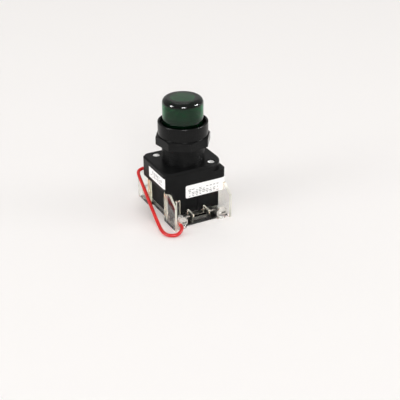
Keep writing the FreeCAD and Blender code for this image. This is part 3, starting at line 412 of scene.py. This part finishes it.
def finish(name, effect, colour, scale, roughness, change, bump, **constants):
    """Material with one Principled shader: an effect drives its colour, roughness and bump."""
    made = bpy.data.materials.new(name + "_finish")
    made.use_nodes = True
    tree = made.node_tree
    shader = tree.nodes["Principled BSDF"]
    for socket, value in constants.items():
        shader.inputs[socket.replace("_", " ")].default_value = value
    group = add(tree, "ShaderNodeGroup", node_tree=bpy.data.node_groups[effect])
    group.inputs["Colour"].default_value = (*colour, 1)
    group.inputs["Scale"].default_value = scale
    group.inputs["Roughness"].default_value = roughness
    group.inputs["Change"].default_value = change
    relief = add(tree, "ShaderNodeBump",
                 {"Height": group.outputs["Height"], "Strength": bump, "Distance": 0.05 * MM})
    tree.links.new(group.outputs["Colour"], shader.inputs["Base Color"])
    tree.links.new(group.outputs["Roughness"], shader.inputs["Roughness"])
    tree.links.new(relief.outputs["Normal"], shader.inputs["Normal"])
    return made


def lens_painted_shade(made, colour, shade_green):
    """Paints shade on the lens: darkens its thick shoulder and its foot, round the paler disc of its top.
    """
    tree = made.node_tree
    group = next(n for n in tree.nodes if n.type == "GROUP")
    low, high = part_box("lens")
    radius = (high.x - low.x) / 2
    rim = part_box("bezel_ring")[1].z
    where = add(tree, "ShaderNodeTexCoord").outputs["Object"]
    place = add(tree, "ShaderNodeSeparateXYZ", {0: where}).outputs
    across = add(tree, "ShaderNodeCombineXYZ", {"X": place["X"], "Y": place["Y"]}).outputs[0]
    away = add(tree, "ShaderNodeVectorMath", {0: across}, operation="LENGTH").outputs["Value"]
    outer = add(tree, "ShaderNodeMapRange", {
        "Value": away,
        "From Min": LENS_DISC[0] * radius, "From Max": LENS_DISC[1] * radius}).outputs[0]
    upper = add(tree, "ShaderNodeMapRange", {
        "Value": place["Z"], "From Min": high.z - LENS_SHOULDER[0] * MM,
        "From Max": high.z - LENS_SHOULDER[1] * MM}).outputs[0]
    lower = add(tree, "ShaderNodeMapRange", {
        "Value": place["Z"], "From Min": rim + LENS_FOOT[0] * MM,
        "From Max": rim + LENS_FOOT[1] * MM, "To Min": LENS_FOOT_SHARE, "To Max": 0.0}).outputs[0]
    # Share of painted shade: on the shoulder outside the disc, and at the foot
    share = maths(tree, "MAXIMUM", maths(tree, "MULTIPLY", outer, upper), lower)
    # Inputs 6 and 7 and output 2 of a mix are its colours
    mixed = add(tree, "ShaderNodeMix", {0: share, 6: (*colour, 1), 7: (*shade_green, 1)},
                data_type="RGBA").outputs[2]
    tree.links.new(mixed, group.inputs["Colour"])


def clear_plastic(colour):
    """Clear plastic that turns faintly yellow where light has far to go in it."""
    made = finish("clear_plastic", "moulded_surface", colour, 900.0, 0.02, 0.01, 0.03,
                  Transmission_Weight=1.0, IOR=1.42)
    tree = made.node_tree
    depth = add(tree, "ShaderNodeVolumeAbsorption",
                {"Color": (1.0, 0.965, 0.80, 1), "Density": 55.0})
    tree.links.new(depth.outputs["Volume"], tree.nodes["Material Output"].inputs["Volume"])


def make_finishes(scene):
    """Makes the effects and every material of the device."""
    moulding, lens, label, wire = scene.moulding, scene.lens_cap, scene.label, scene.jumper
    black = moulding.black
    satin = (moulding.gloss + moulding.matt) / 2
    moulded_effect()
    rolled_effect()
    fibrous_effect()
    finish("gloss_black", "moulded_surface", black, 3500.0, moulding.gloss, 0.05, 0.10,
           Specular_IOR_Level=0.14)
    finish("satin_black", "moulded_surface", black, 3000.0, satin, 0.05, 0.14,
           Specular_IOR_Level=0.09)
    finish("matt_black", "moulded_surface", black, 2600.0, moulding.matt, 0.06, 0.2,
           Specular_IOR_Level=0.06)
    green = finish("lens_green", "moulded_surface", lens.green, 700.0, lens.roughness, 0.015, 0.02,
                   Transmission_Weight=0.9, IOR=1.34)
    # Painted shade on the lens's shoulder and foot
    lens_painted_shade(green, lens.green, lens.shade_green)
    clear_plastic(moulding.clear)
    # Pale cream on the clear base's narrow edges: painted light
    finish("clear_edge", "moulded_surface", moulding.edge, 900.0, 0.35, 0.08, 0.1,
           Transmission_Weight=0.55, IOR=1.42)
    for *values, others in PLAIN_FINISHES:
        finish(*values, **others)
    finish("label_paper", "pressed_fibres", label.paper, 2600.0, 0.55, 0.05, 0.12,
           Specular_IOR_Level=0.35)
    finish("label_ink", "pressed_fibres", label.ink, 3000.0, 0.60, 0.05, 0.05)
    finish("wire_red", "moulded_surface", wire.red, 1600.0, 0.34, 0.06, 0.12,
           Specular_IOR_Level=0.3)


# Meshes

def body_of(node):
    """Name of the body that carries a CAD node."""
    return frame["nodes"][node]["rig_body"]


def object_from(name, mesh):
    """New object in the scene that shows a mesh."""
    made = bpy.data.objects.new(name, mesh)
    bpy.context.scene.collection.objects.link(made)
    return made


def settled(piece):
    """Gives a piece the plain mesh that its modifiers make, and takes them off."""
    graph = bpy.context.evaluated_depsgraph_get()
    mesh = bpy.data.meshes.new_from_object(piece.evaluated_get(graph), depsgraph=graph)
    piece.modifiers.clear()
    piece.data = mesh


def merged_copy(node, name):
    """Copy of a CAD node with its loose triangles joined and each flat face in one piece."""
    source = frame["nodes"][node].data
    mesh = bpy.data.meshes.new(name)
    mesh.from_pydata([v.co for v in source.vertices], [], [p.vertices for p in source.polygons])
    work = bmesh.new()
    work.from_mesh(mesh)
    bmesh.ops.remove_doubles(work, verts=work.verts, dist=JOIN_DISTANCE * MM)
    bmesh.ops.dissolve_limit(work, angle_limit=math.radians(FLAT_ANGLE),
                             verts=work.verts, edges=work.edges)
    for face in work.faces:
        face.smooth = True
    smooth_under = math.radians(SMOOTH_ANGLE)
    for edge in work.edges:
        edge.smooth = len(edge.link_faces) == 2 and edge.calc_face_angle() < smooth_under
    work.to_mesh(mesh)
    work.free()
    return object_from(name, mesh)


def finished(node, name, material, edge_radius):
    """Piece that stands for a CAD node: the same shape with small round edges and a finish."""
    piece = merged_copy(node, name)
    if edge_radius:
        bevel = piece.modifiers.new("round_edges", "BEVEL")
        bevel.width = edge_radius * MM
        bevel.segments = 2
        bevel.limit_method = "ANGLE"
        bevel.angle_limit = math.radians(ROUND_ANGLE)
        bevel.harden_normals = True
        settled(piece)
    piece.data.materials.clear()
    piece.data.materials.append(finish_named(material))
    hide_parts(node)
    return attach(piece, body_of(node))


def give_finish(node, material):
    """Finish on a CAD node that stays as it is."""
    mesh = frame["nodes"][node].data
    mesh.materials.clear()
    mesh.materials.append(finish_named(material))


def grown(name, tree, material, body, **values):
    """Piece grown by a geometry node tree, as one plain mesh on its body."""
    piece = object_from(name, bpy.data.meshes.new(name))
    growth = piece.modifiers.new(tree.name, "NODES")
    growth.node_group = tree
    values["Finish"] = finish_named(material)
    for socket in tree.interface.items_tree:
        if socket.in_out == "INPUT" and socket.name.replace(" ", "_") in values:
            growth[socket.identifier] = values[socket.name.replace(" ", "_")]
    settled(piece)
    if not piece.data.polygons:
        raise RuntimeError(f"{name} came out empty")
    piece.data.materials.clear()
    piece.data.materials.append(values["Finish"])
    for face in piece.data.polygons:
        face.material_index = 0
    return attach(piece, body)


def growth_ends(tree, start, end, geometry):
    """Turns instances into a real mesh with its finish, as the last step of a tree."""
    real = add(tree, "GeometryNodeRealizeInstances", {"Geometry": geometry}).outputs[0]
    smooth = add(tree, "GeometryNodeSetShadeSmooth", {"Geometry": real}).outputs[0]
    done = add(tree, "GeometryNodeSetMaterial",
               {"Geometry": smooth, "Material": start["Finish"]}).outputs[0]
    tree.links.new(done, end["Geometry"])


def thread_tree():
    """Thread ridge in open turns; their opening lies about 15 degrees past the keyway at +Y."""
    tree, start, end = node_tree("barrel_thread", "GeometryNodeTree", [
        ("Radius", "NodeSocketFloat", 15 * MM),
        ("Pitch", "NodeSocketFloat", 1.6 * MM),
        ("Ridge", "NodeSocketFloat", 0.2 * MM),
        ("Turns", "NodeSocketInt", 6),
        ("Base", "NodeSocketFloat", 40 * MM),
        ("Open Share", "NodeSocketFloat", 0.04),
        ("Finish", "NodeSocketMaterial", None),
    ], [("Geometry", "NodeSocketGeometry")])
    share = maths(tree, "SUBTRACT", 1.0, start["Open Share"])
    rise = maths(tree, "MULTIPLY", start["Pitch"], share)
    turn = add(tree, "GeometryNodeCurveSpiral", {
        "Resolution": 72, "Rotations": share, "Start Radius": start["Radius"],
        "End Radius": start["Radius"], "Height": rise}).outputs[0]
    ridge = add(tree, "GeometryNodeCurvePrimitiveCircle",
                {"Resolution": 8, "Radius": start["Ridge"]}).outputs[0]
    one = add(tree, "GeometryNodeCurveToMesh",
              {"Curve": turn, "Profile Curve": ridge, "Fill Caps": True}).outputs[0]
    angle = maths(tree, "MULTIPLY_ADD", start["Open Share"], math.pi)
    angle.node.inputs[2].default_value = math.pi / 2
    rotation = add(tree, "ShaderNodeCombineXYZ", {"Z": angle}).outputs[0]
    one = add(tree, "GeometryNodeTransform", {"Geometry": one, "Rotation": rotation}).outputs[0]
    step = add(tree, "ShaderNodeCombineXYZ", {"Z": start["Pitch"]}).outputs[0]
    base = add(tree, "ShaderNodeCombineXYZ", {"Z": start["Base"]}).outputs[0]
    rows = add(tree, "GeometryNodeMeshLine",
               {"Count": start["Turns"], "Start Location": base, "Offset": step}).outputs[0]
    turns = add(tree, "GeometryNodeInstanceOnPoints", {"Points": rows, "Instance": one}).outputs[0]
    growth_ends(tree, start, end, turns)
    return tree


def bars_tree():
    """Rows of plain flat bars of many lengths, for the printed stretch of a label."""
    tree, start, end = node_tree("label_bars", "GeometryNodeTree", [
        ("Width", "NodeSocketFloat", 20 * MM),
        ("Height", "NodeSocketFloat", 6 * MM),
        ("Columns", "NodeSocketInt", 5),
        ("Rows", "NodeSocketInt", 4),
        ("Bar Length", "NodeSocketFloat", 2 * MM),
        ("Bar Height", "NodeSocketFloat", 0.4 * MM),
        ("Seed", "NodeSocketInt", 3),
        ("Place", "NodeSocketVector", (0.0, 0.0, 0.0)),
        ("Turn", "NodeSocketVector", (0.0, 0.0, 0.0)),
        ("Finish", "NodeSocketMaterial", None),
    ], [("Geometry", "NodeSocketGeometry")])
    grid = add(tree, "GeometryNodeMeshGrid", {
        "Size X": start["Width"], "Size Y": start["Height"],
        "Vertices X": start["Columns"], "Vertices Y": start["Rows"]}).outputs[0]
    size = add(tree, "ShaderNodeCombineXYZ", {
        "X": start["Bar Length"], "Y": start["Bar Height"], "Z": 0.02 * MM}).outputs[0]
    bar = add(tree, "GeometryNodeMeshCube", {"Size": size}).outputs[0]
    length = add(tree, "FunctionNodeRandomValue", {
        "Min": (0.35, 1.0, 1.0), "Max": (1.15, 1.0, 1.0), "Seed": start["Seed"]},
        data_type="FLOAT_VECTOR").outputs["Value"]
    shown = add(tree, "FunctionNodeRandomValue", {"Probability": 0.8, "Seed": start["Seed"]},
                data_type="BOOLEAN")
    bars = add(tree, "GeometryNodeInstanceOnPoints", {
        "Points": grid, "Instance": bar, "Scale": length}).outputs[0]
    chosen = next(s for s in shown.outputs if s.type == "BOOLEAN")
    tree.links.new(chosen, bars.node.inputs["Selection"])
    placed = add(tree, "GeometryNodeTransform", {
        "Geometry": bars, "Translation": start["Place"], "Rotation": start["Turn"]}).outputs[0]
    growth_ends(tree, start, end, placed)
    return tree


def strands_tree():
    """Bare conductor: strands that wind round a middle one, along +Z before it is turned."""
    tree, start, end = node_tree("twisted_strands", "GeometryNodeTree", [
        ("Strand Radius", "NodeSocketFloat", 0.18 * MM),
        ("Length", "NodeSocketFloat", 7 * MM),
        ("Strands", "NodeSocketInt", 6),
        ("Twists", "NodeSocketFloat", 1.2),
        ("Place", "NodeSocketVector", (0.0, 0.0, 0.0)),
        ("Turn", "NodeSocketVector", (0.0, 0.0, 0.0)),
        ("Finish", "NodeSocketMaterial", None),
    ], [("Geometry", "NodeSocketGeometry")])
    away = maths(tree, "MULTIPLY", start["Strand Radius"], 2.0)
    winding = add(tree, "GeometryNodeCurveSpiral", {
        "Resolution": 24, "Rotations": start["Twists"], "Start Radius": away, "End Radius": away,
        "Height": start["Length"]}).outputs[0]
    top = add(tree, "ShaderNodeCombineXYZ", {"Z": start["Length"]}).outputs[0]
    middle = add(tree, "GeometryNodeCurvePrimitiveLine", {"End": top}).outputs[0]
    section = add(tree, "GeometryNodeCurvePrimitiveCircle",
                  {"Resolution": 10, "Radius": start["Strand Radius"]}).outputs[0]
    wound, straight = (
        add(tree, "GeometryNodeCurveToMesh",
            {"Curve": curve, "Profile Curve": section, "Fill Caps": True}).outputs[0]
        for curve in (winding, middle))
    points = add(tree, "GeometryNodeMeshLine",
                 {"Count": start["Strands"], "Offset": (0.0, 0.0, 0.0)}).outputs[0]
    index = add(tree, "GeometryNodeInputIndex").outputs[0]
    share = maths(tree, "DIVIDE", index, start["Strands"])
    angle = maths(tree, "MULTIPLY", share, 2 * math.pi)
    rotation = add(tree, "ShaderNodeCombineXYZ", {"Z": angle}).outputs[0]
    round_it = add(tree, "GeometryNodeInstanceOnPoints",
                   {"Points": points, "Instance": wound, "Rotation": rotation}).outputs[0]
    both = add(tree, "GeometryNodeJoinGeometry", {0: straight})
    tree.links.new(round_it, both.inputs[0])
    placed = add(tree, "GeometryNodeTransform", {
        "Geometry": both.outputs[0], "Translation": start["Place"],
        "Rotation": start["Turn"]}).outputs[0]
    growth_ends(tree, start, end, placed)
    return tree


# Operators, one for each piece or group of like pieces

class PILOT_OT_finishes(bpy.types.Operator):
    """Make every material of the pilot light"""
    bl_idname = "pilot_light.finishes"
    bl_label = "Finishes"

    def execute(self, context):
        make_finishes(context.scene)
        return {"FINISHED"}


class PILOT_OT_stage(bpy.types.Operator):
    """Set up the pale floor, the soft lamps and the camera"""
    bl_idname = "pilot_light.stage"
    bl_label = "Studio"

    def execute(self, context):
        make_studio(context.scene)
        return {"FINISHED"}


class PILOT_OT_jumper(bpy.types.Operator):
    """Lay the red jumper wire and its bare twisted end"""
    bl_idname = "pilot_light.jumper"
    bl_label = "Jumper wire"

    def execute(self, context):
        settings = context.scene.jumper
        low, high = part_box("jumper_end")
        middle = (low + high) / 2
        # Three strands side by side fill the height, so a strand's radius is a sixth of it
        strand = (high.z - low.z) / 6
        end = grown("jumper_strands", strands_tree(), "copper", body_of("jumper_end"),
                    Strand_Radius=strand, Length=high.y - low.y, Strands=settings.strands,
                    Place=(middle.x, low.y, middle.z), Turn=(-math.pi / 2, 0.0, 0.0))
        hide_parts("jumper_end")
        line = bpy.data.curves.new("jumper_insulation", "CURVE")
        line.dimensions = "3D"
        line.bevel_depth = settings.diameter / 2
        line.bevel_resolution = 6
        line.resolution_u = 20
        line.use_fill_caps = True
        spline = line.splines.new("NURBS")
        spline.points.add(len(WIRE_ROUTE) - 1)
        for point, place in zip(spline.points, WIRE_ROUTE):
            point.co = (*(Vector(place) * MM), 1)
        spline.order_u = 3
        spline.use_endpoint_u = True
        line.materials.append(finish_named("wire_red"))
        wire = object_from("jumper_insulation", line)
        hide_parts("jumper_wire")
        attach(wire, body_of("jumper_wire"))
        return {"FINISHED"}


class PILOT_OT_mouldings(bpy.types.Operator):
    """Round the edges of the black mouldings and give them their finishes"""
    bl_idname = "pilot_light.mouldings"
    bl_label = "Black mouldings"

    def execute(self, context):
        for node, name, material, slot, edge_radius in MOULDINGS:
            finished(node, name, material, edge_radius)
        return {"FINISHED"}


class PILOT_OT_lens(bpy.types.Operator):
    """Finish the green lens cap"""
    bl_idname = "pilot_light.lens"
    bl_label = "Green lens"

    def execute(self, context):
        finished("lens", "lens_cap", "lens_green", 0.15)
        return {"FINISHED"}


class PILOT_OT_thread(bpy.types.Operator):
    """Raise the thread's ridge on the barrel, between its collar and the ring nut"""
    bl_idname = "pilot_light.thread"
    bl_label = "Barrel thread"

    def execute(self, context):
        settings = context.scene.thread
        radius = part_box("wiper_seal")[1].x + BARREL_PAST_SEAL * MM
        flange_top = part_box("long_screws")[1].z + FLANGE_PAST_SCREWS * MM
        base = flange_top + COLLAR_HEIGHT * MM + settings.pitch / 2
        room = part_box("bezel_ring")[0].z - base - settings.pitch
        turns = int(room / settings.pitch)
        thread = grown("barrel_thread", thread_tree(), "matt_black", body_of("operator_body"),
                       Radius=radius, Pitch=settings.pitch, Ridge=settings.ridge, Turns=turns,
                       Base=base, Open_Share=0.042)
        return {"FINISHED"}


class PILOT_OT_screws(bpy.types.Operator):
    """Finish the long screws and the terminal screws"""
    bl_idname = "pilot_light.screws"
    bl_label = "Screws"

    def execute(self, context):
        for node in ("long_screws", "terminal_screws"):
            finished(node, node + "_finish", "screw_steel", 0.1)
        return {"FINISHED"}


class PILOT_OT_base(bpy.types.Operator):
    """Finish the clear terminal base, with milky narrow edges painted pale cream as painted light"""
    bl_idname = "pilot_light.base"
    bl_label = "Clear base"

    def execute(self, context):
        base = finished("clear_base", "clear_terminal_base", "clear_plastic", 0.2)
        base.data.materials.append(finish_named("clear_edge"))
        for face in base.data.polygons:
            corners = [base.data.vertices[i].co for i in face.vertices]
            length = max((a - b).length for a in corners for b in corners)
            if length > EDGE_LENGTH * MM and face.area < length * EDGE_WIDTH * MM:
                face.material_index = 1
        return {"FINISHED"}


class PILOT_OT_terminals(bpy.types.Operator):
    """Finish the nickel strips and clamps of the four terminals"""
    bl_idname = "pilot_light.terminals"
    bl_label = "Terminals"

    def execute(self, context):
        for corner in CORNERS:
            for kind in ("terminal_strip", "clamp_plate"):
                piece = finished(f"{kind}_{corner}", f"{kind}_{corner}_finish", "nickel", 0.12)
        return {"FINISHED"}


class PILOT_OT_inside(bpy.types.Operator):
    """Finish the lamp, the socket, the contacts and the springs inside"""
    bl_idname = "pilot_light.inside"
    bl_label = "Inner parts"

    def execute(self, context):
        for node, material in INNER_PARTS:
            give_finish(node, material)
        return {"FINISHED"}


class PILOT_OT_springs(bpy.types.Operator):
    """Finish the two springs that give way under the lens, each with a mesh of its own"""
    bl_idname = "pilot_light.springs"
    bl_label = "Pressed springs"

    def execute(self, context):
        for joint in frame["record"]["behaviour"]["joints"]:
            for pressed in joint["deforming_nodes"]:
                node, foot = pressed["node"], pressed["fixed_end_z_m"]
                spring = finished(node, node + "_coil", "spring_steel", 0)
                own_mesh(spring)
        return {"FINISHED"}


class PILOT_OT_labels(bpy.types.Operator):
    """Finish the two paper labels and lay plain bars on them"""
    bl_idname = "pilot_light.labels"
    bl_label = "Labels"

    def execute(self, context):
        rows = context.scene.label.rows
        tree = bars_tree()
        for node in ("front_label", "left_label"):
            give_finish(node, "label_paper")
        low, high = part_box("front_label")
        flat, tall = high.x - low.x - FRONT_LABEL_BEND * MM, high.z - low.z
        front = grown("front_label_bars", tree, "label_ink", body_of("front_label"),
                      Width=flat * FRONT_BARS_SHARE[0], Height=tall * FRONT_BARS_SHARE[1],
                      Columns=9, Rows=rows, Bar_Length=2.3 * MM, Bar_Height=0.46 * MM, Seed=5,
                      Turn=(math.pi / 2, 0.0, 0.0),
                      Place=(low.x + flat / 2, low.y, low.z + tall * FRONT_BARS_MIDDLE))
        low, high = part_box("left_label")
        long, tall = high.y - low.y, high.z - low.z
        back = (low.y + high.y) / 2 + LEFT_BARS_BACK * MM
        left = grown("left_label_bars", tree, "label_ink", body_of("left_label"),
                     Width=long * LEFT_BARS_SHARE[0], Height=tall * LEFT_BARS_SHARE[1],
                     Columns=7, Rows=rows, Bar_Length=2.2 * MM, Bar_Height=0.4 * MM, Seed=8,
                     Turn=(math.pi / 2, 0.0, -math.pi / 2),
                     Place=(low.x, back, (low.z + high.z) / 2))
        return {"FINISHED"}


# Studio

def pale_floor(settings):
    """Plain pale floor that keeps the shadow."""
    grid = bpy.data.meshes.new("studio_floor")
    corners = [(x * FLOOR_HALF, y * FLOOR_HALF, 0) for x, y in ((-1, -1), (1, -1), (1, 1), (-1, 1))]
    grid.from_pydata(corners, [], [(0, 1, 2, 3)])
    floor = object_from("studio_floor", grid)
    made = bpy.data.materials.new("studio_paper")
    made.use_nodes = True
    shader = made.node_tree.nodes["Principled BSDF"].inputs
    shader["Base Color"].default_value = (*settings.floor, 1)
    shader["Roughness"].default_value = 0.9
    shader["Specular IOR Level"].default_value = 0.1
    grid.materials.append(made)


def pale_surround(scene, settings):
    """Even light from all round, seen as a pale backdrop by the camera and through clear pieces."""
    world = bpy.data.worlds.new("pale_surround")
    world.use_nodes = True
    scene.world = world
    tree = world.node_tree
    rays = add(tree, "ShaderNodeLightPath").outputs
    seen = maths(tree, "MAXIMUM", rays["Is Camera Ray"], rays["Is Transmission Ray"])
    level = add(tree, "ShaderNodeMapRange",
                {"Value": seen, "To Min": settings.surround, "To Max": 1.0}).outputs["Result"]
    dim = maths(tree, "MULTIPLY", rays["Is Glossy Ray"], settings.surround - settings.mirrored)
    level = maths(tree, "SUBTRACT", level, dim)
    background = tree.nodes["Background"]
    background.inputs["Color"].default_value = (*settings.floor, 1)
    tree.links.new(level, background.inputs["Strength"])


def soft_lamp(name, direction, distance, size, power):
    """Rectangular soft lamp that looks at the device from a direction."""
    lamp = bpy.data.lights.new(name, "AREA")
    lamp.shape = "RECTANGLE"
    lamp.size, lamp.size_y = size
    lamp.energy = power
    holder = object_from(name, lamp)
    toward = Vector(direction).normalized()
    holder.location = Vector(LAMP_TARGET) + toward * distance
    holder.rotation_euler = toward.to_track_quat("Z", "Y").to_euler()
    return holder


def make_studio(scene):
    """Floor, surround, lamps and camera."""
    settings = scene.studio
    pale_floor(settings)
    pale_surround(scene, settings)
    for name, direction, distance, size, power in LAMPS:
        soft_lamp(name, direction, distance, size, power * settings.lamps)
    for name, direction, size in GLINTS:
        power = GLINT_POWER * size[0] * size[1] * settings.lamps
        glint = soft_lamp(name, direction, GLINT_DISTANCE, size, power)
        glint.visible_diffuse = False
    lens = bpy.data.cameras.new("photo_camera")
    lens.lens = settings.focal_length
    lens.sensor_width = 36
    lens.clip_start = 0.01
    lens.clip_end = 30
    camera = object_from("photo_camera", lens)
    camera.location = CAMERA_PLACE
    camera.rotation_euler = Euler([math.radians(turn) for turn in CAMERA_TURN])
    scene.camera = camera
    scene.view_settings.view_transform = "Standard"


SETTINGS = [
    ("moulding", MouldingSettings), ("lens_cap", LensSettings), ("thread", ThreadSettings),
    ("label", LabelSettings), ("jumper", WireSettings), ("studio", StudioSettings)]
OPERATORS = [
    PILOT_OT_finishes, PILOT_OT_stage, PILOT_OT_jumper, PILOT_OT_mouldings, PILOT_OT_lens,
    PILOT_OT_thread, PILOT_OT_screws, PILOT_OT_base, PILOT_OT_terminals, PILOT_OT_inside,
    PILOT_OT_springs, PILOT_OT_labels]


class PILOT_PT_sidebar(bpy.types.Panel):
    """Sizes, colours and steps of the pilot light"""
    bl_idname = "PILOT_PT_sidebar"
    bl_label = "Pilot light"
    bl_space_type = "VIEW_3D"
    bl_region_type = "UI"
    bl_category = "Pilot light"

    def draw(self, context):
        for name, group in SETTINGS:
            box = self.layout.box()
            box.label(text=name.replace("_", " ").capitalize())
            for field in group.__annotations__:
                box.prop(getattr(context.scene, name), field)
        for step in OPERATORS:
            self.layout.operator(step.bl_idname)


def register():
    """Makes the settings, steps and panel known to Blender."""
    for name, group in SETTINGS:
        bpy.utils.register_class(group)
        setattr(bpy.types.Scene, name, PointerProperty(type=group))
    for step in OPERATORS:
        bpy.utils.register_class(step)
    bpy.utils.register_class(PILOT_PT_sidebar)


def unregister():
    """Takes the panel, steps and settings back out."""
    bpy.utils.unregister_class(PILOT_PT_sidebar)
    for step in reversed(OPERATORS):
        bpy.utils.unregister_class(step)
    for name, group in reversed(SETTINGS):
        delattr(bpy.types.Scene, name)
        bpy.utils.unregister_class(group)


def main():
    """Runs every step in order."""
    register()
    for step in OPERATORS:
        getattr(bpy.ops.pilot_light, step.bl_idname.split(".")[1])()


if __name__ == "__main__":
    main()
